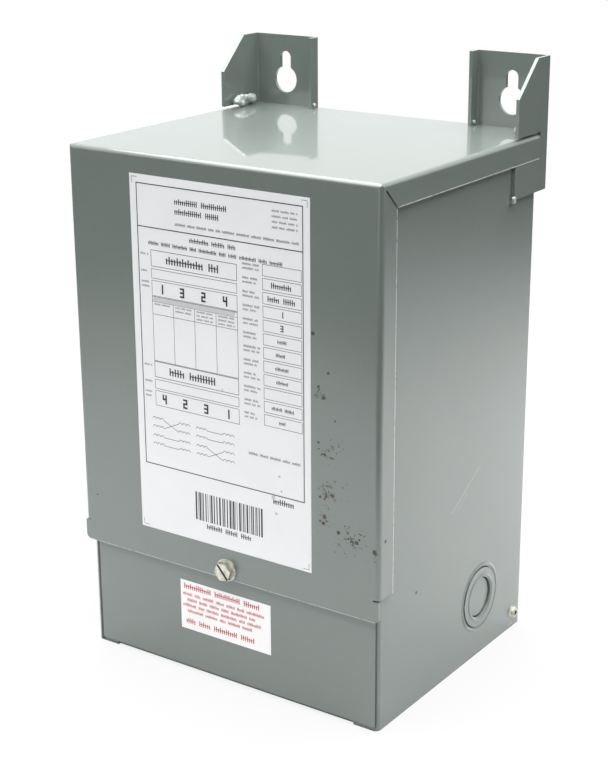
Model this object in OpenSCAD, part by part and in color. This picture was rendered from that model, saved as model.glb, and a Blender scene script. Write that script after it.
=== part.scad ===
// Wall-mounted potted distribution transformer.
// A U-shaped case of bent sheet steel carries the potted core and coil. One bent
// sheet covers its front and top. Below the potting is a wiring compartment with a
// front cover of its own, knockouts in both sides and a screwed-in base plate.
// Two bent ears with keyholes hang it on a wall.
//
// Frame: X to the right as seen from the front, Y from the front to the wall, Z up.
// The origin is below the middle of the overall box, on the floor.

/* [Case] */
// Width across the front and top cover
body_w = 194.5; // [170:0.5:240]
// Depth from the face of the front cover to the wall side of the ears
body_d = 168.4; // [140:0.1:210]
// Height of the top panel above the floor
body_h = 288; // [230:1:360]

/* [Sheet metal] */
// Thickness of the front and top cover
cover_t = 1.9; // [1.2:0.1:2]
// Outer radius of the bends of the front and top cover
cover_bend_r = 2.6; // [2.4:0.1:4]
// Thickness of the case
case_t = 1.5; // [1.2:0.1:2]
// Outer radius of the bends of the case
case_bend_r = 3; // [2.5:0.1:4]
// Thickness of the wiring cover
wiring_t = 1.2; // [0.8:0.1:2]
// Thickness of the mounting ears
ear_t = 1.9; // [1.5:0.1:3]
// Gap between two sheets that lie on each other
contact_gap = 0.1; // [0.05:0.05:0.3]

/* [Front and top cover] */
// Height of the cover's bottom edge above the floor
seam_z = 63.7; // [55:0.1:80]
// Height of the flat strip below the side flanges
strip_h = 12; // [8:0.5:20]
// Radius of the strip's lower corners
strip_corner_r = 3; // [1:0.5:5]
// Depth of the side flanges of the front panel
flange_d = 13.6; // [10:0.1:20]
// Height of the side lips of the top panel
lip_h = 13.5; // [10:0.1:20]
// Width of the mitred gap between flange and lip
mitre_gap = 1.1; // [0.6:0.1:2]
// Height of the relief slot where the side bends begin
relief_h = 0.9; // [0.5:0.1:2]
// Reach of the relief slot from the side
relief_w = 3.4; // [2.5:0.1:6]

/* [Wiring compartment] */
// Height of the potting's lower face above the floor
compartment_h = 82; // [78:1:110]
// Width of the wiring cover
wiring_w = 184.9; // [150:0.1:186]
// Sideways offset of the wiring cover
wiring_shift = 2.4; // [0:0.1:3]
// Height of the wiring cover's bottom edge above the floor
wiring_lift = 2.7; // [2:0.1:8]
// Overlap of the wiring cover behind the front cover
wiring_overlap = 11; // [9:0.5:12]
// Depth of the wiring cover's bottom flange
wiring_foot_d = 12; // [6:0.5:20]
// Width of the front returns of the case
return_w = 15; // [12:0.5:25]
// Height of the cross strap that takes the cover screw
strap_h = 16; // [14:0.5:18]
// Height of the base plate's side flanges
base_flange_h = 14; // [11:0.5:18]

/* [Mounting ears] */
// Height of the ears above the top panel
ear_h = 40.6; // [34:0.1:60]
// Width of an ear
ear_w = 45.1; // [38:0.1:60]
// Depth of the inner lip, which is also the case's distance from the wall
ear_lip_d = 8.9; // [6:0.1:14]
// Depth of the outer flange above the top panel
ear_flange_d = 35.3; // [28:0.1:45]
// Depth of the outer flange below the top cover's lip
ear_tab_d = 37.4; // [28:0.1:45]
// Reach of the outer flange below the top panel
ear_tab_h = 31.1; // [25:0.1:45]
// Length of the slanted cut of the outer flange, along the depth
ear_cut_d = 20.1; // [10:0.1:22]
// Length of the slanted cut of the outer flange, along the height
ear_cut_h = 19.3; // [10:0.1:24]
// Depth of the web behind the notch for the cover's lip
ear_web_d = 9.9; // [8:0.1:14]
// Height of the open slit above the top panel
ear_slit_h = 1.1; // [0.6:0.1:2]
// Outer radius of the bends of an ear
ear_bend_r = 2.6; // [2:0.1:4]

/* [Keyholes] */
// Distance between the keyholes
keyhole_spacing = 150; // [146:0.5:152]
// Height of the large hole's centre above the top panel
keyhole_rise = 14.7; // [12:0.1:18]
// Diameter of the large hole
keyhole_d = 15.5; // [12:0.1:18]
// Width of the slot
key_slot_w = 7.2; // [5:0.1:9]
// Height of the slot's end arc centre above the large hole's centre
key_slot_rise = 12.9; // [10:0.1:16]

/* [Knockouts] */
// Distance of the knockouts behind the face of the front cover
knockout_y = 109; // [60:0.5:125]
// Height of the knockouts above the floor
knockout_z = 35; // [33:0.5:48]
// Diameter of the large knockout
knockout_d = 34.5; // [28:0.1:36]
// Diameter of the small knockout
knockout_inner_d = 22.2; // [16:0.1:23]
// Width of the punched slits
knockout_slit = 0.5; // [0.2:0.1:1]
// Width of the ties that hold each ring and disc
knockout_tie_w = 2.6; // [1.5:0.1:4]
// How far punching has left the ring proud of the wall
knockout_proud = 0.6; // [0:0.1:0.7]
// How far punching has left the disc below the wall
knockout_sunk = 0.6; // [0:0.1:0.7]

/* [Screws] */
// Sideways place of the cover screw
cover_screw_x = 1.9; // [-10:0.1:10]
// Height of the cover screw above the seam
cover_screw_rise = 5.6; // [5:0.1:8]
// Diameter of the cover screw's shank
cover_screw_d = 6.35; // [4:0.05:7]
// Diameter of the cover screw's washer face
cover_washer_d = 12.7; // [9:0.1:15]
// Width across the flats of the cover screw
cover_hex = 9.5; // [7:0.1:11]
// Height of the cover screw's head
cover_head_h = 4.4; // [3:0.1:6]
// Length of the cover screw under its head
cover_screw_l = 14; // [10:0.5:25]
// Distance of the base screws behind the face of the front cover
base_screw_y = 150; // [100:0.5:152]
// Height of the base screws above the floor
base_screw_z = 7; // [6:0.1:9]
// Diameter of the base screws' shank
base_screw_d = 4.2; // [3:0.05:5]
// Diameter of the base screws' washer face
base_washer_d = 9.4; // [7:0.1:11]
// Width across the flats of the base screws
base_hex = 6.35; // [5:0.05:8]
// Height of the base screws' heads
base_head_h = 3.4; // [2:0.1:5]
// Length of the base screws under their heads
base_screw_l = 9; // [6:0.5:16]
// Thickness of the screws' washer faces
washer_t = 0.9; // [0.5:0.1:1.5]
// Width of the screwdriver slots
driver_slot_w = 1.3; // [0.8:0.1:2]
// Depth of the screwdriver slots
driver_slot_depth = 1.5; // [0.8:0.1:2]

/* [Labels] */
// Width of the rating label
label_w = 112.3; // [60:0.1:150]
// Sideways place of the rating label
label_x = 0.5; // [-10:0.1:10]
// Distance of the rating label's top edge below the top panel
label_drop = 11; // [5:0.5:12]
// Distance of the rating label's bottom edge above the seam
label_foot = 17.8; // [14:0.1:40]
// Width of the small sticker on the wiring cover
sticker_w = 60.6; // [30:0.1:100]
// Height of the small sticker
sticker_h = 29; // [15:0.1:30]
// Sideways place of the small sticker
sticker_x = -1.5; // [-20:0.1:20]
// Height of the small sticker's bottom edge above the floor
sticker_z = 25.5; // [15:0.1:28]
// Thickness of the labels
label_t = 0.15; // [0.1:0.05:0.3]

/* [Welds] */
// Length of the weld between ear flange and top panel
ear_weld_l = 21; // [12:0.5:24]
// Radius of that weld's beads
ear_weld_r = 5; // [3:0.1:6]
// Radius of the small welds
small_weld_r = 2.4; // [1.5:0.1:3]

/* [Hidden] */
$fn = 64;

paint = [0.56, 0.59, 0.575];
paint_dark = [0.46, 0.49, 0.475];
weld_paint = [0.72, 0.75, 0.735];
zinc = [0.75, 0.74, 0.7];
label_white = [0.93, 0.93, 0.95];
resin = [0.25, 0.22, 0.2];

// Cutting bodies reach this far past what they cut
cut = 1;
// Face of the front cover in the part's frame; the screw head stands proud of it
front_y = cover_head_h - (body_d + cover_head_h) / 2;

// Front to back, measured from the face of the front cover
wiring_y = cover_t + contact_gap;
returns_y = wiring_y + wiring_t + contact_gap;
inside_y = returns_y + case_t;
wall_y = body_d;
case_back = wall_y - ear_lip_d - contact_gap;
panel_back = wall_y - ear_t - contact_gap;
web_y = wall_y - ear_web_d;

// Sideways
cover_half = body_w / 2;
case_half = cover_half - cover_t - contact_gap;
ear_outer = case_half + contact_gap + ear_t;
ear_inner = ear_outer - ear_w;
inside_half = case_half - case_t;

// Upwards
cover_fillet = cover_bend_r - cover_t;
case_top = body_h - cover_t - cover_fillet;
flange_z = seam_z + strip_h;
tongue_z = seam_z + wiring_overlap;
ear_top = body_h + ear_h;
tab_z = body_h - ear_tab_h;
keyhole_z = body_h + keyhole_rise;
cover_screw_z = seam_z + cover_screw_rise;
screw_hole_gap = 0.35;

// Moves a shape drawn with Y = 0 at the front cover into the part's frame
module place() {
    translate([0, front_y, 0]) children();
}

// Mirrors a right-hand shape to the left where side is -1
module on_side(side) {
    mirror([side < 0 ? 1 : 0, 0, 0]) children();
}

// Box between two opposite corners
module span(low, high) {
    translate(low) cube(high - low);
}

// Rectangle between two corners, with all its corners rounded
module round_rect(x0, y0, x1, y1, r) {
    translate([x0 + r, y0]) square([x1 - x0 - 2 * r, y1 - y0]);
    translate([x0, y0 + r]) square([x1 - x0, y1 - y0 - 2 * r]);
    for (cx = [x0 + r, x1 - r], cy = [y0 + r, y1 - r])
        translate([cx, cy]) circle(r);
}

// Stands an outline drawn in X and Z upright, from y0 to y1
module upright(y0, y1) {
    translate([0, y1, 0]) rotate([90, 0, 0]) linear_extrude(y1 - y0) children();
}

// Stands an outline drawn in Y and Z upright, from x0 to x1
module sideways(x0, x1) {
    translate([x0, 0, 0]) rotate([90, 0, 90]) linear_extrude(x1 - x0) children();
}

// Solid inside the cover's outer faces, set in from them by inset
module cover_envelope(inset) {
    r = cover_bend_r - inset;
    half = cover_half - inset;
    far = 2 * body_d;
    top = body_h - inset;
    intersection() {
        linear_extrude(top) round_rect(-half, inset, half, far, r);
        upright(-far, far) round_rect(-half, -far, half, top, r);
        sideways(-body_w, body_w) round_rect(inset, -far, far, top, r);
    }
}

// Where the bent sheet of the cover is left standing
module cover_reach() {
    panel_half = ear_outer - ear_t - contact_gap;
    panel_low = body_h - cover_bend_r;
    span([-body_w, -cut, flange_z], [body_w, flange_d, body_h + cut]);
    span([-body_w, -cut, body_h - lip_h], [body_w, web_y - contact_gap, body_h + cut]);
    translate([0, 0, panel_low]) linear_extrude(cover_bend_r + cut)
        round_rect(-panel_half, -body_d, panel_half, panel_back, ear_bend_r);
}

// The diagonal gap between a side flange and a top lip, from the inside of the bends out
module mitre_cut() {
    slant = atan2(lip_h, flange_d);
    reach = norm([flange_d, lip_h]);
    translate([0, 0, body_h]) rotate([-slant, 0, 0])
        span([cover_half - cover_bend_r, cover_bend_r * 2, -mitre_gap / 2],
             [body_w, reach + cut, mitre_gap / 2]);
}

// Unbent strip along the cover's bottom edge
module cover_strip() {
    intersection() {
        upright(0, cover_t)
            round_rect(-cover_half, seam_z, cover_half, flange_z + lip_h, strip_corner_r);
        span([-body_w, -cut, seam_z - cut], [body_w, flange_d, flange_z]);
    }
}

module front_top_cover() {
    color(paint) place() difference() {
        union() {
            intersection() {
                difference() {
                    cover_envelope(0);
                    cover_envelope(cover_t);
                }
                cover_reach();
            }
            cover_strip();
        }
        for (side = [-1, 1]) on_side(side) {
            mitre_cut();
            span([cover_half - relief_w, -cut, flange_z - relief_h / 2],
                 [body_w, cover_bend_r + cut, flange_z + relief_h / 2]);
        }
        translate([cover_screw_x, -cut, cover_screw_z]) rotate([-90, 0, 0])
            cylinder(d = cover_screw_d + 2 * screw_hole_gap, h = cover_t + 2 * cut);
    }
}

// Case: back, two sides and a narrow return along each front edge
module case_wrap() {
    color(paint) place() difference() {
        linear_extrude(case_top) difference() {
            round_rect(-case_half, returns_y, case_half, case_back, case_bend_r);
            round_rect(-inside_half, inside_y, inside_half, case_back - case_t,
                       case_bend_r - case_t);
            translate([-case_half + return_w, returns_y - cut])
                square([2 * (case_half - return_w), case_t + 2 * cut]);
        }
        for (side = [-1, 1]) on_side(side) {
            translate([inside_half - cut, knockout_y, knockout_z]) rotate([0, 90, 0])
                cylinder(d = knockout_d + 2 * knockout_slit, h = case_t + 2 * cut);
            translate([inside_half - cut, base_screw_y, base_screw_z]) rotate([0, 90, 0])
                cylinder(d = base_screw_d + 2 * screw_hole_gap, h = case_t + 2 * cut);
        }
    }
}

// Base: a plate with a flange turned up along each side
module base_plate() {
    half = inside_half - contact_gap;
    y0 = inside_y + contact_gap;
    y1 = case_back - case_t - contact_gap;
    color(paint_dark) place() difference() {
        intersection() {
            upright(y0, y1) difference() {
                round_rect(-half, 0, half, 2 * base_flange_h, case_bend_r);
                round_rect(-half + case_t, case_t, half - case_t, 2 * base_flange_h + case_t,
                           case_bend_r - case_t);
            }
            linear_extrude(base_flange_h) round_rect(-half, y0, half, y1, case_bend_r);
        }
        for (side = [-1, 1]) on_side(side)
            translate([half - case_t - cut, base_screw_y, base_screw_z]) rotate([0, 90, 0])
                cylinder(d = base_screw_d + contact_gap, h = case_t + 2 * cut);
    }
}

// Lift-off cover of the wiring compartment: a flat panel with a bottom flange
module wiring_cover() {
    x0 = wiring_shift - wiring_w / 2;
    foot_half = case_half - return_w - contact_gap;
    color(paint) place() difference() {
        union() {
            span([x0, wiring_y, wiring_lift], [x0 + wiring_w, wiring_y + wiring_t, tongue_z]);
            span([-foot_half, wiring_y, wiring_lift],
                 [foot_half, wiring_y + wiring_foot_d, wiring_lift + wiring_t]);
        }
        translate([cover_screw_x, 0, cover_screw_z]) rotate([-90, 0, 0])
            cylinder(d = cover_screw_d + 2 * screw_hole_gap, h = returns_y);
    }
}

// Strap across the case behind the front returns; the cover screw bites into it
module screw_strap() {
    half = inside_half - contact_gap - case_bend_r + case_t;
    strap_z = tongue_z - strap_h;
    color(paint_dark) place() difference() {
        span([-half, inside_y, strap_z], [half, inside_y + case_t, strap_z + strap_h]);
        translate([cover_screw_x, 0, cover_screw_z]) rotate([-90, 0, 0])
            cylinder(d = cover_screw_d + contact_gap, h = inside_y + case_t + cut);
    }
}

// Core and coil cast into resin: fills the case above the wiring compartment
module potting_block() {
    half = inside_half - contact_gap;
    pad_half = case_half - return_w - contact_gap;
    low = compartment_h;
    color(resin) place() {
        translate([0, 0, low]) linear_extrude(case_top - low)
            round_rect(-half, inside_y + contact_gap, half, case_back - case_t - contact_gap,
                       case_bend_r);
        span([-pad_half, wiring_y, low], [pad_half, inside_y + case_bend_r, case_top]);
    }
}

// Right-hand ear: a channel that hugs the case's rear corner and rises above it
module bracket() {
    channel_low = wall_y - ear_tab_d;
    difference() {
        translate([0, 0, tab_z]) linear_extrude(ear_top - tab_z) difference() {
            round_rect(ear_inner, channel_low - ear_bend_r, ear_outer, wall_y, ear_bend_r);
            round_rect(ear_inner + ear_t, channel_low - 2 * ear_bend_r, ear_outer - ear_t,
                       wall_y - ear_t, ear_bend_r - ear_t);
            translate([ear_inner - cut, channel_low - 2 * ear_bend_r])
                square([ear_w + 2 * cut, 2 * ear_bend_r]);
        }
        // The inner lip is short
        span([ear_inner - cut, channel_low - cut, tab_z - cut],
             [ear_inner + ear_t + cut, wall_y - ear_lip_d, ear_top + cut]);
        // The inner lip lets the top panel's rear edge through
        span([ear_inner - cut, channel_low, body_h - cover_t - contact_gap],
             [ear_inner + ear_bend_r, wall_y - ear_t, body_h + contact_gap]);
        // The notch that takes the cover's lip
        span([ear_outer - ear_t - cut, channel_low - cut, body_h - lip_h - contact_gap],
             [ear_outer + cut, web_y, body_h + ear_slit_h]);
        // Above the top panel the flange is less deep, with a slanted corner
        span([ear_outer - ear_t - cut, channel_low - cut, body_h],
             [ear_outer + cut, wall_y - ear_flange_d, ear_top + cut]);
        slanted_corner();
        keyhole();
    }
}

// The corner cut off the outer flange
module slanted_corner() {
    y0 = wall_y - ear_flange_d;
    sideways(ear_outer - ear_t - cut, ear_outer + cut)
        polygon([
            [y0 - cut, ear_top - ear_cut_h],
            [y0, ear_top - ear_cut_h],
            [y0 + ear_cut_d, ear_top],
            [y0 + ear_cut_d, ear_top + cut],
            [y0 - cut, ear_top + cut]
        ]);
}

// Large hole with a slot above it
module keyhole() {
    translate([keyhole_spacing / 2, wall_y - ear_t - cut, keyhole_z]) rotate([-90, 0, 0]) {
        cylinder(d = keyhole_d, h = ear_t + 2 * cut);
        translate([0, -key_slot_rise, 0]) cylinder(d = key_slot_w, h = ear_t + 2 * cut);
        translate([-key_slot_w / 2, -key_slot_rise, 0])
            cube([key_slot_w, key_slot_rise, ear_t + 2 * cut]);
    }
}

module left_mounting_bracket() {
    color(paint) place() on_side(-1) bracket();
}

module right_mounting_bracket() {
    color(paint) place() on_side(1) bracket();
}

// Slotted hex-head screw along Z: the washer face is on Z = 0 and the shank below it
module hex_screw(shank_d, length, washer_d, hex_w, head_h) {
    difference() {
        union() {
            cylinder(d = washer_d, h = washer_t);
            cylinder(d = hex_w / cos(30), h = head_h, $fn = 6);
        }
        translate([-washer_d / 2, -driver_slot_w / 2, head_h - driver_slot_depth])
            cube([washer_d, driver_slot_w, driver_slot_depth + cut]);
    }
    translate([0, 0, -length]) cylinder(d = shank_d, h = length + washer_t / 2);
}

module cover_screw() {
    color(zinc) place() translate([cover_screw_x, 0, cover_screw_z]) rotate([90, 0, 0])
        rotate([0, 0, -50])
            hex_screw(cover_screw_d, cover_screw_l, cover_washer_d, cover_hex, cover_head_h);
}

module base_screw() {
    translate([case_half, base_screw_y, base_screw_z]) rotate([0, 90, 0])
        rotate([0, 0, 35])
            hex_screw(base_screw_d, base_screw_l, base_washer_d, base_hex, base_head_h);
}

module left_base_screw() {
    color(zinc) place() on_side(-1) base_screw();
}

module right_base_screw() {
    color(zinc) place() on_side(1) base_screw();
}

// Two small bars that bridge the slit around a disc of radius r, in front and behind
module ties(r) {
    reach = r + knockout_slit - contact_gap / 2;
    intersection() {
        translate([-knockout_tie_w / 2, -body_d, 0]) cube([knockout_tie_w, 2 * body_d, case_t]);
        difference() {
            cylinder(r = reach, h = case_t);
            translate([0, 0, -cut]) cylinder(r = r, h = case_t + 2 * cut);
        }
    }
}

// Turns a knockout drawn flat, face up, into the wall of the case, pushed out by proud
module in_wall(proud) {
    translate([inside_half + proud, knockout_y, knockout_z]) rotate([0, 90, 0]) children();
}

module knockout_ring() {
    hole_r = knockout_inner_d / 2 + knockout_slit;
    in_wall(knockout_proud) union() {
        difference() {
            cylinder(d = knockout_d, h = case_t);
            translate([0, 0, -cut]) cylinder(r = hole_r, h = case_t + 2 * cut);
        }
        ties(knockout_d / 2);
    }
}

module knockout_disc() {
    in_wall(-knockout_sunk) union() {
        cylinder(d = knockout_inner_d, h = case_t);
        ties(knockout_inner_d / 2);
    }
}

module left_knockout_ring() {
    color(paint) place() on_side(-1) knockout_ring();
}

module left_knockout_disc() {
    color(paint) place() on_side(-1) knockout_disc();
}

module right_knockout_ring() {
    color(paint) place() on_side(1) knockout_ring();
}

module right_knockout_disc() {
    color(paint) place() on_side(1) knockout_disc();
}

module rating_label() {
    color(label_white) place()
        span([label_x - label_w / 2, -label_t, seam_z + label_foot],
             [label_x + label_w / 2, 0, body_h - label_drop]);
}

module lower_sticker() {
    color(label_white) place()
        span([sticker_x - sticker_w / 2, wiring_y - label_t, sticker_z],
             [sticker_x + sticker_w / 2, wiring_y, sticker_z + sticker_h]);
}

// Row of overlapping beads along Y, count of them, centred on a line
module bead_row(y0, y1, r, count) {
    step = (y1 - y0 - 2 * r) / (count - 1);
    for (i = [0 : count - 1])
        translate([0, y0 + r + i * step, 0]) sphere(r = r * (i % 2 == 0 ? 1 : 0.88), $fn = 32);
}

// Bead in the corner between the ear's outer flange and the top panel
module ear_weld() {
    end = wall_y - ear_t - ear_lip_d + ear_t;
    corner_x = ear_outer - ear_t;
    intersection() {
        translate([corner_x - ear_weld_r * 0.1, 0, body_h + ear_weld_r * 0.6])
            bead_row(end - ear_weld_l, end, ear_weld_r, 5);
        span([ear_inner, 0, body_h], [corner_x, wall_y - ear_t, ear_top]);
    }
}

// Bead at the foot of the ear's inner lip
module lip_weld() {
    y0 = wall_y - ear_lip_d;
    intersection() {
        translate([ear_inner + ear_t / 2, y0, body_h + small_weld_r * 0.4])
            sphere(r = small_weld_r, $fn = 32);
        span([ear_inner - ear_w, y0 - ear_w, body_h], [ear_outer, y0, ear_top]);
    }
}

// Bead at the lower front corner of the ear's outer flange, on the case wall
module tab_weld() {
    y0 = wall_y - ear_tab_d;
    difference() {
        intersection() {
            translate([case_half + small_weld_r * 0.3, y0, tab_z])
                sphere(r = small_weld_r, $fn = 32);
            span([case_half, 0, 0], [body_w, wall_y, body_h]);
        }
        span([case_half - cut, y0, tab_z], [body_w, wall_y, body_h]);
    }
}

module left_ear_weld() {
    color(weld_paint) place() on_side(-1) ear_weld();
}

module right_ear_weld() {
    color(weld_paint) place() on_side(1) ear_weld();
}

module left_lip_weld() {
    color(weld_paint) place() on_side(-1) lip_weld();
}

module right_lip_weld() {
    color(weld_paint) place() on_side(1) lip_weld();
}

module left_tab_weld() {
    color(weld_paint) place() on_side(-1) tab_weld();
}

module right_tab_weld() {
    color(weld_paint) place() on_side(1) tab_weld();
}

front_top_cover();
case_wrap();
base_plate();
wiring_cover();
screw_strap();
potting_block();
left_mounting_bracket();
right_mounting_bracket();
cover_screw();
left_base_screw();
right_base_screw();
left_knockout_ring();
left_knockout_disc();
right_knockout_ring();
right_knockout_disc();
rating_label();
lower_sticker();
left_ear_weld();
right_ear_weld();
left_lip_weld();
right_lip_weld();
left_tab_weld();
right_tab_weld();
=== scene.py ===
"""The looks of a wall-mounted potted distribution transformer.

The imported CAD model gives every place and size. This script joins and finishes its sheet metal,
gives the weld beads, base screws and knockout rims their detailed surfaces, prints the two labels,
and gives each piece its finish. Lengths are in metres unless a name or comment says otherwise.
"""

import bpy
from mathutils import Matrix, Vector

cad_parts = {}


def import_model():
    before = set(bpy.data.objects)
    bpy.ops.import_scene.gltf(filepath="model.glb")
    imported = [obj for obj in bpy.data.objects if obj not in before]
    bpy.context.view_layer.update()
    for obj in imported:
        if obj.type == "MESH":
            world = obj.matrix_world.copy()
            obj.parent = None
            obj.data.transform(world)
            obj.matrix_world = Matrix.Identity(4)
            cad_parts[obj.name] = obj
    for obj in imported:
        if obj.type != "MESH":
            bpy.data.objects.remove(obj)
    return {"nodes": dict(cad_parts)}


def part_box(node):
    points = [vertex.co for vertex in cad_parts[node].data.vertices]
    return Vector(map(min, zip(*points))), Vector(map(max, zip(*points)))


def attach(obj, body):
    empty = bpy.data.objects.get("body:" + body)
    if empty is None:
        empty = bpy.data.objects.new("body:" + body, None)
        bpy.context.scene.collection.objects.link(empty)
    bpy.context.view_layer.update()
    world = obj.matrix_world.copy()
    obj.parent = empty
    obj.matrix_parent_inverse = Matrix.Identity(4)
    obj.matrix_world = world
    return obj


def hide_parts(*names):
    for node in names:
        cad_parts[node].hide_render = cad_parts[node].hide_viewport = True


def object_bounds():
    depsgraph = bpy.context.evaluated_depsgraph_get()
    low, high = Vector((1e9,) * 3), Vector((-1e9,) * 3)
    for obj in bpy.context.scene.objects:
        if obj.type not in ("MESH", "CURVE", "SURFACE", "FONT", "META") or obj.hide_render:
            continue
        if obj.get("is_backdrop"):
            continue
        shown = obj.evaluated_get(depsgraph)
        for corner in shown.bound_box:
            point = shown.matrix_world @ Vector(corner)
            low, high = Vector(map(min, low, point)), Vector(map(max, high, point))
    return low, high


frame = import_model()
cad_low, cad_high = (list(corner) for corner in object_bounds())

import math

import bmesh
import bpy
import numpy as np
from mathutils import Matrix, Vector

MM = 0.001
BODY = "root"


# ---------------------------------------------------------------- shader maths

class Wire:
    """A value inside a material. Its operators add Math nodes, so a formula reads as one."""

    def __init__(self, tree, socket):
        self.tree = tree
        self.socket = socket

    def _math(self, operation, *values):
        return self.tree.node("ShaderNodeMath", {"operation": operation}, dict(enumerate(values)))

    def __add__(self, other): return self._math("ADD", self, other)
    def __radd__(self, other): return self._math("ADD", other, self)
    def __sub__(self, other): return self._math("SUBTRACT", self, other)
    def __rsub__(self, other): return self._math("SUBTRACT", other, self)
    def __mul__(self, other): return self._math("MULTIPLY", self, other)
    def __rmul__(self, other): return self._math("MULTIPLY", other, self)
    def __truediv__(self, other): return self._math("DIVIDE", self, other)
    def __abs__(self): return self._math("ABSOLUTE", self)

    def least(self, other): return self._math("MINIMUM", self, other)
    def most(self, other): return self._math("MAXIMUM", self, other)

    def ramp(self, start, end):
        """0 below start, 1 above end, with a smooth step between them."""
        settings = {"interpolation_type": "SMOOTHSTEP"}
        return self.tree.node("ShaderNodeMapRange", settings, {0: self, 1: start, 2: end})


class Tree:
    """The nodes of one material or of the world."""

    def __init__(self, node_tree):
        self.nodes = node_tree.nodes
        self.links = node_tree.links
        self.nodes.clear()

    def node(self, kind, settings=None, sockets=None, out=0):
        """Adds a node: its settings first, then the values or links of its sockets."""
        made = self.nodes.new(kind)
        for name, value in (settings or {}).items():
            setattr(made, name, value)
        for key, value in (sockets or {}).items():
            if isinstance(value, Wire):
                self.links.new(value.socket, made.inputs[key])
            else:
                made.inputs[key].default_value = value
        return Wire(self, made.outputs[out]) if made.outputs else made

    def mix(self, factor, a, b):
        """Colour a where the factor is 0 and colour b where it is 1."""
        return self.node("ShaderNodeMix", {"data_type": "RGBA"}, {0: factor, 6: a, 7: b}, out=2)

    def place(self):
        """Object coordinates, in metres: the pieces sit at the origin, so this is the frame."""
        return self.node("ShaderNodeTexCoord", out=3)

    def split(self, vector):
        """The X, Y and Z of a vector."""
        made = self.nodes.new("ShaderNodeSeparateXYZ")
        self.links.new(vector.socket, made.inputs[0])
        return [Wire(self, socket) for socket in made.outputs]

    def away(self, point):
        """The distance from a point."""
        sockets = {0: self.place(), 1: point}
        return self.node("ShaderNodeVectorMath", {"operation": "DISTANCE"}, sockets, out=1)

    def noise(self, scale, detail=2.0, rough=0.5):
        """Noise around 0.5, with scale bumps to the metre."""
        values = {"Vector": self.place(), "Scale": scale, "Detail": detail, "Roughness": rough}
        return self.node("ShaderNodeTexNoise", {}, values)

    def bump(self, height, distance, strength=1.0, under=None):
        """A normal from a height, laid over another normal where one is given."""
        values = {"Height": height, "Distance": distance, "Strength": strength}
        if under is not None:
            values["Normal"] = under
        return self.node("ShaderNodeBump", {}, values)

    def rays(self, *kinds):
        """1 where a surface is met by one of these kinds of ray, 0 elsewhere."""
        path = self.nodes.new("ShaderNodeLightPath")
        total = Wire(self, path.outputs[kinds[0]])
        for kind in kinds[1:]:
            total = total.most(Wire(self, path.outputs[kind]))
        return total


def rgba(colour):
    """An opaque colour from its red, green and blue."""
    return (*colour, 1.0)


def finish(name, build):
    """A material: build gets its Tree and returns the sockets of the Principled shader."""
    material = bpy.data.materials.new(name)
    material.use_nodes = True
    tree = Tree(material.node_tree)
    shader = tree.node("ShaderNodeBsdfPrincipled", {}, build(tree))
    tree.node("ShaderNodeOutputMaterial", {}, {"Surface": shader})
    return material


# ---------------------------------------------------------------- finishes

PAINT = (0.143, 0.170, 0.156)
ROUGH = 0.31
RUST = (0.022, 0.015, 0.010)
RUST_PALE = (0.062, 0.042, 0.027)
BARE_STEEL = (0.42, 0.41, 0.38)
# pale colour of the painted highlight along the cover's free edges
EDGE_HIGHLIGHT = (0.66, 0.67, 0.64)
WELD_CREST = (0.66, 0.68, 0.65)
# near-black colour of the painted shade in gaps between parts
GAP_SHADE = (0.012, 0.013, 0.012)
# near-black colour of the painted shade in the cover screw's slot
SLOT_SHADE = (0.03, 0.028, 0.024)
FILM_WHITE = (0.76, 0.77, 0.78)
STICKER_WHITE = (0.86, 0.86, 0.86)
WORN_INK = (0.55, 0.55, 0.55)

cover_low, cover_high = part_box("front_top_cover")
case_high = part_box("case_wrap")[1]
wiring_low, wiring_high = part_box("wiring_cover")
screw_low, screw_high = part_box("cover_screw")
label_low, label_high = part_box("rating_label")
sticker_low, sticker_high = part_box("lower_sticker")
SIDE_X = case_high.x
FLANGE_X = cover_high.x
FLANGE_DEEP = 13.6 * MM
LIP_HIGH = 13.5 * MM


def spots(tree, places):
    """How much of a surface lies in a few small blots: 1 inside, 0 outside.
    Each place is a point and a radius, and noise makes the outlines ragged."""
    wobble = (tree.noise(700, 3.0, 0.7) - 0.5) * 0.9
    total = None
    for point, radius in places:
        blot = 1 - (tree.away(point) / radius + wobble).ramp(0.55, 1.0)
        total = blot if total is None else total.most(blot)
    return total


def stroke(tree, start, end, width):
    """A straight mark on a side face, between two (y, z) points: 1 inside, 0 outside."""
    x, y, z = tree.split(tree.place())
    run, rise = end[0] - start[0], end[1] - start[1]
    length = math.hypot(run, rise)
    along = ((y - start[0]) * run + (z - start[1]) * rise) / length
    off = abs((y - start[0]) * rise - (z - start[1]) * run) / length
    past = (along - length).most(0 - along).most(0)
    return (1 - (off + past).ramp(width * 0.4, width)) * (x - SIDE_X + 3 * MM).ramp(0, MM)


def spatter(tree, places):
    """Many small ragged specks that thin out away from each place: a point and a radius."""
    near = None
    for point, radius in places:
        patch = 1 - tree.away(point) / radius
        near = patch if near is None else near.most(patch)
    grit = tree.noise(420, 4.0, 0.75) + near.least(1.0) * 0.16
    return grit.ramp(0.685, 0.715) * near.ramp(0.0, 0.15)


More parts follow.
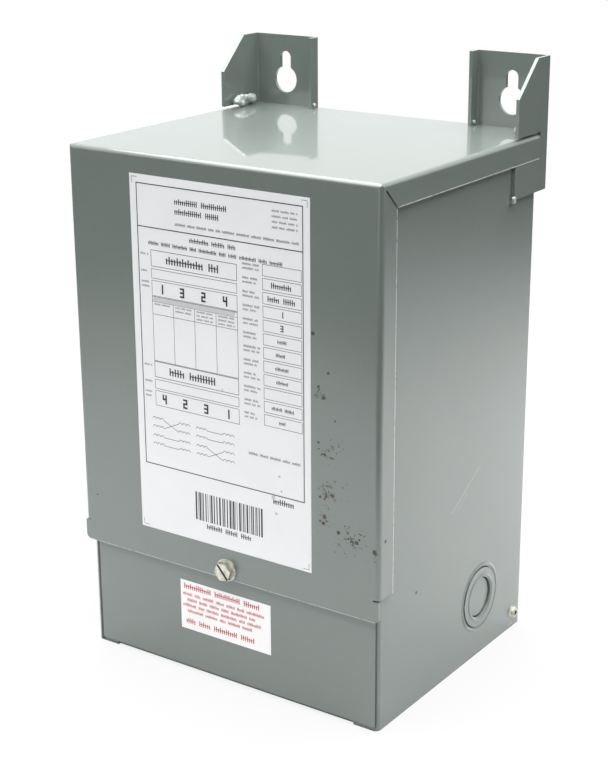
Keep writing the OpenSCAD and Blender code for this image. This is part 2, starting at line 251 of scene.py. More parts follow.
def enamel(tree, rust_places=(), rust_patches=(), strokes=(), tint=1.0, lumps=0.0,
           edges=None, gap=None):
    """Grey-green gloss enamel on sheet steel: faint mottle, a few rust blots, pale scratches,
    a painted highlight on free edges and painted shade in gaps, with an orange-peel skin on
    slightly uneven sheet.
    edges gives how much painted highlight a free edge gets, and gap where painted shade darkens
    the enamel."""
    mottle = tree.noise(9, 3.0, 0.6)
    cloud = tree.noise(38, 4.0, 0.6)
    grain = tree.noise(420, 3.0, 0.6)
    shade = (mottle - 0.5) * 0.6 + (cloud - 0.5) * 0.5 + (grain - 0.5) * 0.4 + 0.5
    colour = tree.mix(shade, rgba([c * 0.93 * tint for c in PAINT]),
                      rgba([c * 1.07 * tint for c in PAINT]))
    rough = (cloud - 0.5) * 0.05 + ROUGH
    coat = None
    for start, end, width, strength in strokes:
        mark = stroke(tree, start, end, width) * tree.noise(900, 2.0, 0.6).ramp(0.3, 0.5)
        colour = tree.mix(mark * strength, colour, rgba(BARE_STEEL))
    # Painted highlight: a broken pale strip along free edges stands in for the light they catch.
    if edges:
        colour = tree.mix(edges(tree) * tree.noise(260, 3.0, 0.6).ramp(0.25, 0.5), colour,
                          rgba(EDGE_HIGHLIGHT))
    if rust_places:
        rust = spots(tree, rust_places)
        if rust_patches:
            rust = rust.most(spatter(tree, rust_patches))
        scale = tree.noise(2600, 3.0, 0.7)
        colour = tree.mix(rust * 0.92, colour, tree.mix(scale, rgba(RUST), rgba(RUST_PALE)))
        rough = rough + rust * 0.4
        coat = 1 - rust * 0.9
    # Painted shade: the line is coloured near black and loses its gloss coat.
    if gap:
        shade_line = gap(tree)
        colour = tree.mix(shade_line, colour, rgba(GAP_SHADE))
        coat = (1 if coat is None else coat) * (1 - shade_line)
    peel = tree.bump(tree.noise(520, 2.0, 0.5), 0.010 * MM)
    sheet = tree.bump(tree.noise(11, 1.0, 0.4), 0.4 * MM, 0.4, peel)
    if lumps:
        sheet = tree.bump(tree.noise(420, 3.0, 0.5), lumps, 1.0, sheet)
    return {"Base Color": colour, "Roughness": rough, "Coat Weight": 1.0 if coat is None else coat,
            "Coat Roughness": 0.05, "IOR": 1.45, "Coat IOR": 1.45, "Normal": sheet}


def on_front(x, z, radius):
    """A blot on the front cover's face, all in millimetres: its place and its radius."""
    return (x * MM, cover_low.y, z * MM), radius * MM


COVER_RUST = [on_front(58, 210, 1.3), on_front(67, 191, 1.0), on_front(61, 183, 0.8),
              on_front(61, 154, 1.0), on_front(71, 167, 0.8), on_front(62, 125, 0.9),
              on_front(69.5, 127, 1.3), on_front(64, 111, 1.4), on_front(73, 108, 1.3),
              on_front(62, 112, 0.8), on_front(79, 106, 0.9), on_front(84, 105, 1.5),
              on_front(85.5, 107, 0.9), on_front(94.6, 102.5, 1.6), on_front(-88, 92, 0.7),
              ((FLANGE_X, cover_low.y + 5.8 * MM, 107 * MM), 1.2 * MM)]
COVER_PATCHES = [on_front(68, 128, 15), on_front(64, 113, 11), on_front(80, 106, 15),
                 on_front(66, 150, 13), on_front(62, 180, 9), on_front(94, 101, 8)]
CASE_RUST = [((SIDE_X, case_high.y - 1.0 * MM, 62 * MM), 1.4 * MM),
             ((SIDE_X, cover_low.y + 39.9 * MM, 65 * MM), 1.1 * MM),
             ((-SIDE_X, cover_low.y + 92 * MM, 18 * MM), 1.6 * MM)]


def side_mark(back, height):
    """A (y, z) point on the side, from its distance behind the front face, in millimetres."""
    return cover_low.y + back * MM, height * MM


CASE_MARKS = [(side_mark(76, 97), side_mark(106, 115), 0.35 * MM, 0.5),
              (side_mark(81, 96), side_mark(92, 103), 0.25 * MM, 0.35),
              (side_mark(137, 276.9), side_mark(158, 275.8), 0.8 * MM, 0.3),
              (side_mark(160, 283), side_mark(166, 283.2), 1.2 * MM, 0.3),
              (side_mark(146, 2.1), side_mark(150, 2.1), 1.0 * MM, 0.4)]


def edge_highlights(tree):
    """Where the cover's cut edges get a painted highlight: the flanges' rear edges, the lips'
    lower edges and, fainter, the front panel's lower edge."""
    # widths of the painted highlight: full within the first, gone by the second
    worn, painted = 0.25 * MM, 0.6 * MM
    x, y, z = tree.split(tree.place())
    side = abs(x).ramp(FLANGE_X - 1.0 * MM, FLANGE_X - 0.3 * MM)
    turn = cover_low.y + FLANGE_DEEP
    lip_z = cover_high.z - LIP_HIGH
    flange = (1 - abs(y - turn).ramp(worn, painted)) * (1 - z.ramp(lip_z, lip_z + MM))
    lip = (1 - abs(z - lip_z).ramp(worn, painted)) * y.ramp(turn, turn + MM)
    foot = (1 - (z - cover_low.z).ramp(0.2 * MM, 0.7 * MM)) * (1 - side) * 0.35
    return (side * flange.most(lip) * 0.9).most(foot)


# where the painted shade lies on the case beside the lower cover
GAP_SHADE_OUT = 1.2 * MM
GAP_SHADE_TOP = 62 * MM
GAP_SHADE_BACK = -70 * MM
GAP_SHADE_FADE = 2 * MM


def side_gap_shade(tree):
    """Painted shade: a near-black line on the case beside the lower cover, where its left edge
    stands off the case and the space behind lies in shadow.
    """
    x, y, z = tree.split(tree.place())
    across = 1 - abs(x - (wiring_low.x - GAP_SHADE_OUT)).ramp(1.1 * MM, 1.6 * MM)
    below = 1 - z.ramp(GAP_SHADE_TOP, GAP_SHADE_TOP + GAP_SHADE_FADE)
    ahead = 1 - y.ramp(GAP_SHADE_BACK, GAP_SHADE_BACK + GAP_SHADE_FADE)
    return across * below * ahead * 0.9


def corner_gap_shade(tree):
    """Painted shade: a dark line down the lower cover's right edge, where it meets the case."""
    x, y, z = tree.split(tree.place())
    return x.ramp(wiring_high.x - 0.75 * MM, wiring_high.x - 0.4 * MM) * 0.85


plain_enamel = finish("grey_enamel", enamel)
wiring_enamel = finish("wiring_enamel", lambda tree: enamel(tree, gap=corner_gap_shade))
cover_enamel = finish("cover_enamel", lambda tree: enamel(tree, COVER_RUST, COVER_PATCHES,
                                                          edges=edge_highlights))
case_enamel = finish("case_enamel", lambda tree: enamel(tree, CASE_RUST, strokes=CASE_MARKS,
                                                        gap=side_gap_shade))


def welded(tree):
    """Enamel over a rough weld: thinner and paler on the crests, with fine spatter."""
    made = enamel(tree, tint=1.8, lumps=0.5 * MM)
    crest = tree.noise(300, 3.0, 0.6).ramp(0.40, 0.62)
    made["Base Color"] = tree.mix(crest * 0.6, made["Base Color"], rgba(WELD_CREST))
    return made


SLOT_TURN = math.radians(-50)


def zinc(tree):
    """Zinc plate with a faint warm film, darker in patches, fine turning marks, and painted shade
    in the cover screw's slot, where the recess is coloured near black and not metallic."""
    patch = tree.noise(330, 4.0, 0.6)
    fine = tree.noise(2400, 2.0, 0.6)
    colour = tree.mix(patch.ramp(0.35, 0.7), rgba((0.36, 0.35, 0.29)), rgba((0.62, 0.61, 0.55)))
    x, y, z = tree.split(tree.place())
    across = ((x - (screw_low.x + screw_high.x) / 2) * math.sin(SLOT_TURN)
              - (z - (screw_low.z + screw_high.z) / 2) * math.cos(SLOT_TURN))
    inward = y - screw_low.y
    deep = inward.ramp(0.15 * MM, 0.5 * MM) * (1 - inward.ramp(2.2 * MM, 2.4 * MM))
    front_half = 1 - y.ramp(0.0, 10 * MM)
    slot = (1 - abs(across).ramp(0.8 * MM, 1.0 * MM)) * deep * front_half
    # Painted shade: the slot's recess is coloured near black.
    colour = tree.mix(slot * 0.95, colour, rgba(SLOT_SHADE))
    return {"Base Color": colour, "Metallic": 0.9 - slot * 0.9, "Roughness": patch * 0.2 + 0.3,
            "Normal": tree.bump(fine, 0.04 * MM)}


def resin(tree):
    """Dark cast resin with sand in it: matt, with fine pits."""
    sand = tree.noise(700, 4.0, 0.7)
    colour = tree.mix(sand.ramp(0.4, 0.65), rgba((0.020, 0.019, 0.018)),
                      rgba((0.07, 0.065, 0.055)))
    return {"Base Color": colour, "Roughness": sand * 0.2 + 0.6,
            "Normal": tree.bump(sand, 0.4 * MM)}


def film(tree, marks=(), tint=FILM_WHITE):
    """White label film: faint greying, handling marks, and a shallow ripple from the adhesive."""
    cloud = tree.noise(45, 4.0, 0.6)
    colour = tree.mix(cloud, rgba([c * 0.965 for c in tint]),
                      rgba([min(c * 1.03, 0.9) for c in tint]))
    if marks:
        grain = tree.noise(1500, 3.0, 0.7)
        colour = tree.mix(spots(tree, marks) * 0.7, colour,
                          tree.mix(grain, rgba((0.22, 0.2, 0.18)), rgba((0.5, 0.48, 0.45))))
    ripple = tree.noise(70, 2.0, 0.5)
    return {"Base Color": colour, "Roughness": cloud * 0.15 + 0.36,
            "Normal": tree.bump(ripple, 0.25 * MM)}


def on_label(x, z, radius):
    """A blot on the rating label, all in millimetres: its place and its radius."""
    return (x * MM, label_low.y, z * MM), radius * MM


LABEL_MARKS = [on_label(37, 130.3, 0.9), on_label(38.2, 122.3, 0.8), on_label(33.1, 118, 1.5),
               on_label(33.6, 115.5, 1.0), on_label(34.9, 109.4, 1.0), on_label(1.6, 170.4, 0.6)]


def painted_socket_shade(tree):
    """Painted shade in a screw's socket: the recess is coloured near black."""
    socket_noise = tree.noise(1800, 3.0, 0.6)
    return {"Base Color": tree.mix(socket_noise, rgba((0.02, 0.018, 0.015)), rgba((0.09, 0.08, 0.065))),
            "Roughness": socket_noise * 0.3 + 0.5}


weld_enamel = finish("weld_enamel", welded)
socket_shade = finish("socket_shade", painted_socket_shade)
zinc_plate = finish("zinc_plate", zinc)
cast_resin = finish("cast_resin", resin)
label_film = finish("label_film", lambda tree: film(tree, LABEL_MARKS))
sticker_film = finish("sticker_film", lambda tree: film(tree, tint=STICKER_WHITE))


def ink(colour):
    """Printed ink, slightly worn: the film shows through in fine specks."""
    def build(tree):
        wear = tree.noise(2200, 3.0, 0.7).ramp(0.6, 0.8)
        return {"Base Color": tree.mix(wear * 0.5, rgba(colour), rgba(WORN_INK)),
                "Roughness": wear * 0.2 + 0.4}
    return build


black_ink = finish("black_ink", ink((0.022, 0.022, 0.024)))
grey_ink = finish("grey_ink", ink((0.16, 0.16, 0.17)))
red_ink = finish("red_ink", ink((0.56, 0.045, 0.06)))


# ---------------------------------------------------------------- joined CAD surfaces

def add_piece(name, mesh):
    """An object of a mesh, which moves with the body and takes its finish from a slot."""
    piece = bpy.data.objects.new(name, mesh)
    bpy.context.scene.collection.objects.link(piece)
    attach(piece, BODY)
    return piece


def finished(node, material, edge=0.3 * MM, turn=32):
    """A CAD node's own surface with its loose triangles joined: corners closer than a
    micrometre become one vertex, triangles in one plane become one face, edges that turn more
    than the limit stay sharp, and a narrow bevel rounds them."""
    source = frame["nodes"][node].data
    places = np.empty(len(source.vertices) * 3)
    source.vertices.foreach_get("co", places)
    places = places.reshape(-1, 3)
    source.calc_loop_triangles()
    corners = np.empty(len(source.loop_triangles) * 3, np.int32)
    source.loop_triangles.foreach_get("vertices", corners)
    keys = np.round(places / (MM / 1000)).astype(np.int64)
    _, first, joined = np.unique(keys, axis=0, return_index=True, return_inverse=True)
    triangles = joined.ravel()[corners].reshape(-1, 3)
    whole = ((triangles[:, 0] != triangles[:, 1]) & (triangles[:, 1] != triangles[:, 2])
             & (triangles[:, 2] != triangles[:, 0]))
    mesh = bpy.data.meshes.new(node + "_sheet")
    mesh.from_pydata(places[first].tolist(), [], triangles[whole].tolist())
    work = bmesh.new()
    work.from_mesh(mesh)
    bmesh.ops.dissolve_limit(work, angle_limit=math.radians(0.2), verts=work.verts,
                             edges=work.edges)
    work.to_mesh(mesh)
    work.free()
    mesh.polygons.foreach_set("use_smooth", [True] * len(mesh.polygons))
    mesh.set_sharp_from_angle(angle=math.radians(turn))
    mesh.materials.append(material)
    piece = add_piece(node + "_sheet", mesh)
    if edge:
        bevel = piece.modifiers.new("rounded_edges", "BEVEL")
        bevel.width = edge
        bevel.segments = 2
        bevel.limit_method = "ANGLE"
        bevel.angle_limit = math.radians(turn)
        bevel.harden_normals = True
    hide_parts(node)


SHEETS = {"front_top_cover": cover_enamel, "case_wrap": case_enamel, "base_plate": plain_enamel,
          "wiring_cover": wiring_enamel, "screw_strap": plain_enamel,
          "left_mounting_bracket": plain_enamel, "right_mounting_bracket": plain_enamel,
          "left_knockout_ring": plain_enamel, "left_knockout_disc": plain_enamel,
          "right_knockout_ring": plain_enamel, "right_knockout_disc": plain_enamel}
for sheet, paint in SHEETS.items():
    finished(sheet, paint)
finished("cover_screw", zinc_plate, edge=0.25 * MM)
finished("potting_block", cast_resin, edge=0.8 * MM)
finished("rating_label", label_film, edge=0)
finished("lower_sticker", sticker_film, edge=0)


# ---------------------------------------------------------------- welds, screws and rims

def add_grid(name, points, material):
    """A closed mesh from a grid of points (rows by columns by 3) that runs round its columns.
    Rows that meet in a point or in each other are joined, and the faces turn outwards."""
    rows, columns = points.shape[:2]
    cell = np.arange((rows - 1) * columns)
    row, column = np.divmod(cell, columns)
    after = (column + 1) % columns
    quads = np.column_stack([row * columns + column, row * columns + after,
                             (row + 1) * columns + after, (row + 1) * columns + column])
    mesh = bpy.data.meshes.new(name)
    mesh.from_pydata(points.reshape(-1, 3).tolist(), [], quads.tolist())
    work = bmesh.new()
    work.from_mesh(mesh)
    bmesh.ops.remove_doubles(work, verts=work.verts, dist=MM / 1000)
    bmesh.ops.recalc_face_normals(work, faces=work.faces)
    work.to_mesh(mesh)
    work.free()
    mesh.polygons.foreach_set("use_smooth", [True] * len(mesh.polygons))
    mesh.materials.append(material)
    return add_piece(name, mesh)


def bead(node, ripples, seed, shift=(0, 0, 0), grow=(1, 1, 1)):
    """A weld bead that fills its node's box, moved and grown a little: with u from -1 to 1
    along the longest side and t the angle around it, the point is centre +
    (u L, a r cos t, b r sin t), where r is sqrt(1 - u^4) (0.85 + a low ripple + lumps)."""
    low, high = (np.array(corner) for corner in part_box(node))
    centre, half = (low + high) / 2 + np.array(shift) * MM, (high - low) / 2 * np.array(grow)
    long_axis = int(np.argmax(half))
    others = [axis for axis in range(3) if axis != long_axis]
    rng = np.random.default_rng(seed)
    u = np.sin(np.linspace(-math.pi / 2, math.pi / 2, 61))[:, None]
    t = np.linspace(0, 2 * math.pi, 33)[None, :-1]
    lumps = sum(rng.uniform(0.03, 0.07) * np.cos(rng.integers(1, 4) * t
                + rng.uniform(2, 7) * u + rng.uniform(0, 6)) for _ in range(6))
    wave = 0.035 * np.cos(math.pi * ripples * u + 0.9 * np.cos(t))
    r = np.sqrt(np.maximum(1 - u ** 4, 0)) * (0.85 + wave + lumps)
    points = np.empty((*r.shape, 3))
    points[..., long_axis] = centre[long_axis] + half[long_axis] * u
    points[..., others[0]] = centre[others[0]] + half[others[0]] * r * np.cos(t)
    points[..., others[1]] = centre[others[1]] + half[others[1]] * r * np.sin(t)
    piece = add_grid(node + "_bead", points, weld_enamel)
    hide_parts(node)


bead("left_ear_weld", 7, 14, shift=(0.4, 0, -0.6), grow=(1.1, 1.0, 0.9))
bead("right_ear_weld", 7, 11)
for order, lip_weld in enumerate(("left_lip_weld", "right_lip_weld")):
    bead(lip_weld, 1, 20 + order, shift=(0, 4.5, 0), grow=(0.9, 1.2, 0.9))
for order, tab_weld in enumerate(("left_tab_weld", "right_tab_weld")):
    bead(tab_weld, 1, 22 + order, grow=(0.9, 0.8, 0.8))


HEAD_PROFILE = ((0.0, 0.6), (1.1, 0.6), (1.35, 0.9), (1.4, 2.3), (1.6, 2.5), (2.3, 2.35),
                (2.9, 1.85), (3.2, 1.2), (3.3, 0.5), (4.1, 0.45), (4.3, 0.3), (4.35, 0.0),
                (0.0, -0.3))
HEAD_SUNK = 0.2 * MM
HEAD_RISE = 2.0 * MM
SOCKET_R = 1.38 * MM


def button_head(node, side):
    """A screw's low round head with a socket, turned about X: a profile of (radius, height)
    points in millimetres carried round a circle, each point centre + (side h, r cos t,
    r sin t)."""
    low, high = (np.array(corner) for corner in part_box(node))
    middle_y, middle_z = (low[1] + high[1]) / 2, (low[2] + high[2]) / 2 + HEAD_RISE
    profile = np.array(HEAD_PROFILE) * MM
    t = np.linspace(0, 2 * math.pi, 49)[:-1]
    points = np.empty((len(profile), len(t), 3))
    points[..., 0] = side * (SIDE_X - HEAD_SUNK + profile[:, 1:2])
    points[..., 1] = middle_y + side * profile[:, 0:1] * np.cos(t)
    points[..., 2] = middle_z + profile[:, 0:1] * np.sin(t)
    piece = add_grid(node + "_head", points, zinc_plate)
    # Painted shade: the socket's faces take the near-black socket material.
    piece.data.materials.append(socket_shade)
    middles = np.empty(len(piece.data.polygons) * 3)
    piece.data.polygons.foreach_get("center", middles)
    x, y, z = middles.reshape(-1, 3).T
    in_socket = (np.hypot(y - middle_y, z - middle_z) < SOCKET_R) & (np.abs(x) > SIDE_X)
    piece.data.polygons.foreach_set("material_index", in_socket.astype(np.int32))
    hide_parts(node)


button_head("left_base_screw", -1)
button_head("right_base_screw", 1)

knockout_low, knockout_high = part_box("right_knockout_ring")
KNOCKOUT_Y = (knockout_low.y + knockout_high.y) / 2
KNOCKOUT_Z = (knockout_low.z + knockout_high.z) / 2
RING_R = knockout_high.z - KNOCKOUT_Z
DISC_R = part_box("right_knockout_disc")[1].z - KNOCKOUT_Z
RIM_SUNK = 0.05 * MM
RIM_ROOT = 0.3 * MM
# each rim's radius, the face that it stands on, half its width, and its height
RIMS = {"outer_rim": (RING_R + 2.0 * MM, SIDE_X, 1.4 * MM, 0.5 * MM),
        "inner_rim": (DISC_R + 1.9 * MM, knockout_high.x, 1.2 * MM, 0.55 * MM)}


def pressed_rim(name, side, radius, face, half_width, height):
    """The low rolled rim that the punch leaves round a cut: with s from -1 to 1 across the rim
    and t the angle round the knockout, the point is centre + (side (seat + h), r cos t,
    r sin t), where r is radius + half_width s, h is height (1 + cos(pi s)) / 2, and seat is
    just under the face. The underside lies in the sheet, at RIM_ROOT under the seat."""
    s = np.linspace(-1, 1, 13)
    across = np.concatenate([s, [1.0, -1.0, -1.0]])[:, None]
    rise = height * (1 + np.cos(math.pi * s)) / 2
    rise = np.concatenate([rise, [-RIM_ROOT, -RIM_ROOT, rise[0]]])[:, None]
    t = np.linspace(0, 2 * math.pi, 97)[None, :-1]
    r = radius + half_width * across
    points = np.empty((len(across), t.shape[1], 3))
    points[..., 0] = side * (face - RIM_SUNK + rise)
    points[..., 1] = KNOCKOUT_Y + r * np.cos(t)
    points[..., 2] = KNOCKOUT_Z + r * np.sin(t)
    add_grid(name, points, plain_enamel)


for side_name, side in (("left", -1), ("right", 1)):
    for rim, sizes in RIMS.items():
        pressed_rim(f"{side_name}_{rim}", side, *sizes)


# ---------------------------------------------------------------- print on the two films

class Print:
    """Flat ink on a film: thin bars, laid out in millimetres from the film's top left corner."""

    LIFT = 0.02
    TICK_PITCH = 0.42
    DIGITS = {"1": "bc", "2": "abged", "3": "abgcd", "4": "fgbc"}

    def __init__(self, low, high):
        self.left, self.top = low.x / MM, high.z / MM
        self.width, self.height = (high.x - low.x) / MM, (high.z - low.z) / MM
        self.y = low.y - self.LIFT * MM
        self.quads = {}

    def quad(self, tone, corners):
        """Keeps one four-cornered face in a tone of ink."""
        self.quads.setdefault(tone, []).append(corners)

    def bar(self, x, y, width, height, tone="black"):
        """An upright rectangle from its top left corner."""
        self.quad(tone, ((x, y), (x, y + height), (x + width, y + height), (x + width, y)))

    def line(self, start, end, width):
        """A straight black line between two points."""
        along = np.subtract(end, start)
        side = np.array((-along[1], along[0])) / np.hypot(*along) * width / 2
        start, end = np.array(start), np.array(end)
        self.quad("black", (start - side, start + side, end + side, end - side))

    def frame(self, x, y, width, height, line):
        """A box of four thin lines."""
        self.bar(x, y, width, line)
        self.bar(x, y + height - line, width, line)
        self.bar(x, y, line, height)
        self.bar(x + width - line, y, line, height)

    def words(self, x, y, width, height, rng, tone="grey"):
        """A row of plain upright ticks in groups, each group on one thin bar: it stands for
        print and holds no letters."""
        reach, end, step = x, x + width, self.TICK_PITCH * height
        while reach < end:
            ticks = min(int(rng.integers(5, 15)), int((end - reach) / step))
            if ticks < 2:
                return
            for tick in range(ticks):
                cut = height * rng.choice((0.0, 0.0, 0.25))
                self.bar(reach + tick * step, y + cut, step * 0.48, height - cut, tone)
            self.bar(reach, y + height * 0.44, (ticks - 1) * step, height * 0.13, tone)
            reach += (ticks + 1.6) * step

    def digit(self, value, x, y, height, stroke):
        """A plain digit from straight strokes: top, upper right, lower right, bottom, lower
        left, upper left and middle."""
        width = height * 0.55
        half = (height - stroke) / 2
        places = {"a": (0, 0, width, stroke), "d": (0, height - stroke, width, stroke),
                  "g": (0, half, width, stroke), "f": (0, 0, stroke, half + stroke),
                  "e": (0, half, stroke, half + stroke),
                  "b": (width - stroke, 0, stroke, half + stroke),
                  "c": (width - stroke, half, stroke, half + stroke)}
        for part in self.DIGITS[value]:
            across, down, wide, tall = places[part]
            self.bar(x + across, y + down, wide, tall)

    def make(self, name, inks):
        """One mesh with one flat face for each bar, facing the front."""
        points, materials = [], []
        for index, tone in enumerate(inks):
            for corners in self.quads.get(tone, ()):
                points.append(np.array(corners, float))
                materials.append(index)
        flat = np.concatenate(points)
        places = np.column_stack([(flat[:, 0] + self.left) * MM, np.full(len(flat), self.y),
                                  (self.top - flat[:, 1]) * MM])
        mesh = bpy.data.meshes.new(name)
        mesh.from_pydata(places.tolist(), [], np.arange(len(flat)).reshape(-1, 4).tolist())
        for material in inks.values():
            mesh.materials.append(material)
        mesh.polygons.foreach_set("material_index", materials)
        add_piece(name, mesh)


def coils(sheet, x, y, wide, crossed):
    """Two windings as rows of small arches, joined straight or crossed over."""
    turns, pitch, slope, rise, apart, pen = 3, 2.5, 0.7, 1.0, 4.6, 0.28
    run = turns * pitch
    for row in (0, apart):
        for start in (0, wide - run):
            for turn in range(turns):
                left, foot = x + start + turn * pitch, y + row
                arch = ((left, foot), (left + slope, foot - rise),
                        (left + pitch - slope, foot - rise), (left + pitch, foot))
                for begin, end in zip(arch, arch[1:]):
                    sheet.line(begin, end, pen)
    near, far = x + run, x + wide - run
    for row in (0, apart):
        sheet.line((near, y + row), (far, y + (apart - row if crossed else row)), pen)


def heading(sheet, rng):
    """Corner ticks, the outer box, and the rows at its head."""
    wide, tall = sheet.width, sheet.height
    inset, tick = 1.5, 3.5
    for x, y, dx, dy in ((inset, inset, 1, 1), (wide - inset, inset, -1, 1),
                         (inset, tall - inset, 1, -1), (wide - inset, tall - inset, -1, -1)):
        sheet.line((x, y), (x + tick * dx, y), 0.25)
        sheet.line((x, y), (x, y + tick * dy), 0.25)
    sheet.frame(0.037 * wide, 0.022 * tall, 0.928 * wide, 0.785 * tall, 0.55)
    sheet.bar(0.037 * wide, 0.137 * tall, 0.928 * wide, 0.55)
    sheet.words(0.26 * wide, 0.052 * tall, 0.32 * wide, 3.0, rng, "black")
    sheet.words(0.26 * wide, 0.078 * tall, 0.26 * wide, 3.0, rng, "black")
    for row in range(4):
        sheet.words(0.80 * wide, (0.042 + 0.014 * row) * tall, 0.14 * wide, 1.2, rng)
    sheet.words(0.26 * wide, 0.116 * tall, 0.69 * wide, 1.5, rng)
    sheet.words(0.34 * wide, 0.150 * tall, 0.29 * wide, 2.5, rng, "black")
    sheet.words(0.10 * wide, 0.174 * tall, 0.76 * wide, 2.1, rng, "black")


def winding_tables(sheet, rng):
    """The left column: two blocks of boxes with plain digits, and a ruled table between them."""
    wide, tall = sheet.width, sheet.height
    left = 0.112 * wide
    across = 0.605 * wide - left
    for top, digits in ((0.198, "1324"), (0.506, "4231")):
        y = top * tall
        sheet.frame(left, y, across, 8.8, 0.3)
        sheet.words(left + 10, y + 2.3, across - 20, 4.2, rng, "black")
        sheet.frame(left, y + 10.0, across, 5.2, 0.25)
        sheet.frame(left, y + 16.2, across, 8.4, 0.25)
        for place, value in enumerate(digits):
            sheet.digit(value, left + (place + 0.34) * across / 4, y + 17.8, 5.2, 1.0)
        for row in (2.0, 11.0, 16.8, 19.2):
            sheet.words(0.052 * wide, y + row, 5.6, 1.2, rng)

    table, deep, hatches = 0.325 * tall, 0.180 * tall, 58
    for step in range(hatches):
        x = left + step * (across - 2) / hatches
        sheet.line((x, table + 2.6), (x + 1.7, table + 0.2), 0.2)
    sheet.frame(left, table, across, deep, 0.25)
    sheet.bar(left, table + 2.7, across, 0.2)
    sheet.bar(left, table + 9.4, across, 0.25)
    for column, rows in enumerate((1, 2, 3, 3)):
        x = left + column * across / 4
        if column:
            sheet.bar(x, table + 2.7, 0.25, deep - 2.7)
        for row in range(rows):
            sheet.words(x + 1.4, table + 3.4 + row * 2.0, 10.8, 1.1, rng)


def value_boxes(sheet, rng):
    """The right column: a box to a row, with a row of ticks, one digit or nothing in it."""
    wide, tall = sheet.width, sheet.height
    box_high = 6.1
    digits = {3: "1", 4: "3"}
    sizes = (0, 13.0, 17.5, 0, 0, 6.0, 8.0, 9.0, 8.0, 0, 14.0, 5.0)
    for row, size in enumerate(sizes):
        y = (0.186 + 0.0364 * row) * tall
        sheet.frame(0.745 * wide, y, 0.21 * wide, box_high, 0.25)
        sheet.words(0.635 * wide, y + 0.6, 11.0 - 1.5 * (row % 3), 1.35, rng)
        sheet.words(0.635 * wide, y + 2.9, 10.5 - 2.0 * (row % 2), 1.2, rng)
        if row in digits:
            sheet.digit(digits[row], 0.84 * wide, y + 1.4, 3.3, 0.62)
        elif size:
            high = 3.0 if row in (1, 2) else 2.0
            sheet.words(0.85 * wide - size / 2, y + (box_high - high) / 2, size, high, rng,
                        "black")
    sheet.words(0.655 * wide, 0.700 * tall, 0.29 * wide, 1.6, rng)


def foot_rows(sheet, rng):
    """The winding sketches, the row of plain bars of random widths, and the last rows."""
    wide, tall = sheet.width, sheet.height
    for row, y in enumerate((0.672 * tall, 0.722 * tall)):
        coils(sheet, 0.090 * wide, y, 25.0, row == 0)
        coils(sheet, 0.350 * wide, y, 25.0, row == 1)
    reach = 0.335 * wide
    while reach < 0.725 * wide:
        stripe = rng.choice((0.35, 0.7, 1.05))
        sheet.bar(reach, 0.855 * tall, stripe, 16.0)
        reach += stripe + rng.choice((0.4, 0.8, 1.1))
    sheet.words(0.40 * wide, 0.943 * tall, 0.27 * wide, 2.8, rng, "black")
    sheet.words(0.79 * wide, 0.815 * tall, 0.16 * wide, 3.2, rng, "black")


def rating_print():
    """Generic print: rules, tables, plain digits, winding sketches and unreadable rows."""
    sheet = Print(label_low, label_high)
    rng = np.random.default_rng(4)
    for part in (heading, winding_tables, value_boxes, foot_rows):
        part(sheet, rng)
    sheet.make("rating_print", {"black": black_ink, "grey": grey_ink})


def sticker_print():
    """Unreadable red rows on the small film."""
    sheet = Print(sticker_low, sticker_high)
    rng = np.random.default_rng(7)
    wide = sheet.width
    sheet.words(2.5, 1.6, wide - 8, 3.2, rng, "red")
    for row in range(4):
        inset = row % 2
        sheet.words(1.6 + 3 * inset, 6.9 + row * 3.3, wide - 5 - 9 * inset, 2.0, rng, "red")
    sheet.words(3.5, 22.3, wide - 10, 3.2, rng, "red")
    sheet.make("sticker_print", {"red": red_ink})


rating_print()
sticker_print()


# ---------------------------------------------------------------- stage, light and camera

FLOOR_SIZE = 12.0
FLOOR_RINGS, FLOOR_STEPS = 12, 72
FLOOR_BOUNCE = 0.62
FLOOR_SHOWN = 0.08
FLOOR_REACH = (0.40, 1.30)
EDGE_TOWARD = (0.571, -0.821, 0.0)
EDGE_FADE = (0.30, 0.52)
SHADOW_DEPTH = 2.0


def floor_sheet():
    """A white sheet that bounces light near the object, and less beyond its reach and past its
    edge on one side. It is seen white, with the object's soft shadow on it."""
    material = bpy.data.materials.new("floor_sheet")
    material.use_nodes = True
    tree = Tree(material.node_tree)
    seen = tree.rays("Is Camera Ray", "Is Transmission Ray")
    toward = tree.node("ShaderNodeVectorMath", {"operation": "DOT_PRODUCT"},
                       {0: tree.place(), 1: EDGE_TOWARD}, out=1)
    close = (1 - tree.away((0, 0, 0)).ramp(*FLOOR_REACH)) * (1 - toward.ramp(*EDGE_FADE))
    value = close * (seen * (FLOOR_SHOWN - FLOOR_BOUNCE) + FLOOR_BOUNCE)
    colour = tree.mix(value, rgba((0, 0, 0)), rgba((1, 1, 1)))
    matte = tree.node("ShaderNodeBsdfDiffuse", {}, {"Color": colour})
    strength = seen * (1 - close * FLOOR_SHOWN * SHADOW_DEPTH)
    glow = tree.node("ShaderNodeEmission", {}, {"Color": rgba((1, 1, 1)), "Strength": strength})
    both = tree.node("ShaderNodeAddShader", {}, {0: matte, 1: glow})
    tree.node("ShaderNodeOutputMaterial", {}, {"Surface": both})
    return material


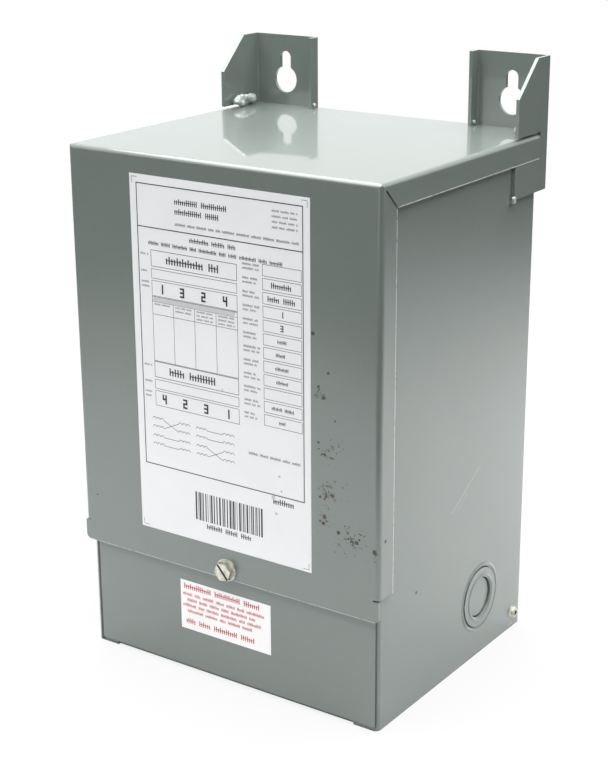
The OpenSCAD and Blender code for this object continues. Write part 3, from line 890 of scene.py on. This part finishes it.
def floor():
    """A flat round sheet: radius grows along one parameter, and the angle along the other."""
    radius = (np.linspace(0, 1, FLOOR_RINGS + 1)[1:] ** 2) * FLOOR_SIZE
    angle = np.arange(FLOOR_STEPS) * (2 * math.pi / FLOOR_STEPS)
    x = np.outer(radius, np.cos(angle)).ravel()
    y = np.outer(radius, np.sin(angle)).ravel()
    points = np.column_stack([x, y, np.zeros_like(x)])
    cell = np.arange((FLOOR_RINGS - 1) * FLOOR_STEPS)
    ring, step = np.divmod(cell, FLOOR_STEPS)
    after = (step + 1) % FLOOR_STEPS
    inner, outer = ring * FLOOR_STEPS, (ring + 1) * FLOOR_STEPS
    quads = np.column_stack([inner + step, outer + step, outer + after, inner + after])
    mesh = bpy.data.meshes.new("floor")
    mesh.from_pydata(points.tolist(), [], quads.tolist() + [list(range(FLOOR_STEPS))])
    mesh.materials.append(floor_sheet())
    piece = bpy.data.objects.new("floor", mesh)
    bpy.context.scene.collection.objects.link(piece)
    piece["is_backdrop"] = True


# each lamp's place, the point it faces, the side of its square, and its watts
LAMPS = {"top_box": ((0.0, 0.1, 1.6), (0, 0.1, 0), 2.4, 112),
         "left_box": ((-0.9, -1.5, 1.0), (0, 0, 0.2), 0.9, 4.5),
         "right_box": ((1.6, -0.2, 1.0), (0, 0, 0.2), 0.9, 1)}


def lamp(name, place, aim, size, watts):
    """A square soft box at place that faces aim."""
    data = bpy.data.lights.new(name, "AREA")
    data.shape = "RECTANGLE"
    data.size = data.size_y = size
    data.energy = watts
    made = bpy.data.objects.new(name, data)
    made.location = place
    made.rotation_euler = (Vector(aim) - Vector(place)).to_track_quat("-Z", "Y").to_euler()
    bpy.context.scene.collection.objects.link(made)


def world():
    """White where it is seen or mirrored, and a dim even fill for everything else."""
    made = bpy.data.worlds.new("studio")
    bpy.context.scene.world = made
    made.use_nodes = True
    tree = Tree(made.node_tree)
    fill = 0.2
    seen = tree.rays("Is Camera Ray", "Is Glossy Ray", "Is Transmission Ray")
    glow = tree.node("ShaderNodeBackground", {}, {"Color": rgba((1, 1, 1)),
                                                   "Strength": seen * (1 - fill) + fill})
    tree.node("ShaderNodeOutputWorld", {}, {"Surface": glow})


CAMERA_TURN = 34.82
CAMERA_RISE = 18.38
CAMERA_ROLL = -0.35
CAMERA_AWAY = 0.9273
CAMERA_AIM = (-0.0014, -0.0044, 0.1536)
FOCAL_MM = 79.35
SENSOR_MM = 36.0


def camera():
    """A camera that looks at the aim from a turn about Z, counted from the front, and a rise,
    both in degrees, with a slight roll."""
    data = bpy.data.cameras.new("camera")
    data.lens = FOCAL_MM
    data.sensor_width = SENSOR_MM
    made = bpy.data.objects.new("camera", data)
    bpy.context.scene.collection.objects.link(made)
    turn, rise = math.radians(CAMERA_TURN), math.radians(CAMERA_RISE)
    back = Vector((math.sin(turn) * math.cos(rise), -math.cos(turn) * math.cos(rise),
                   math.sin(rise)))
    face = back.to_track_quat("Z", "Y").to_matrix().to_4x4()
    roll = Matrix.Rotation(math.radians(CAMERA_ROLL), 4, "Z")
    made.matrix_world = Matrix.Translation(Vector(CAMERA_AIM) + back * CAMERA_AWAY) @ face @ roll
    bpy.context.scene.camera = made


floor()
world()
for lamp_name, settings in LAMPS.items():
    lamp(lamp_name, *settings)
camera()
bpy.context.scene.view_settings.view_transform = "Standard"

shown_low, shown_high = (list(corner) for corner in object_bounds())
sizes = {"cad": [cad_low, cad_high], "visual": [shown_low, shown_high]}
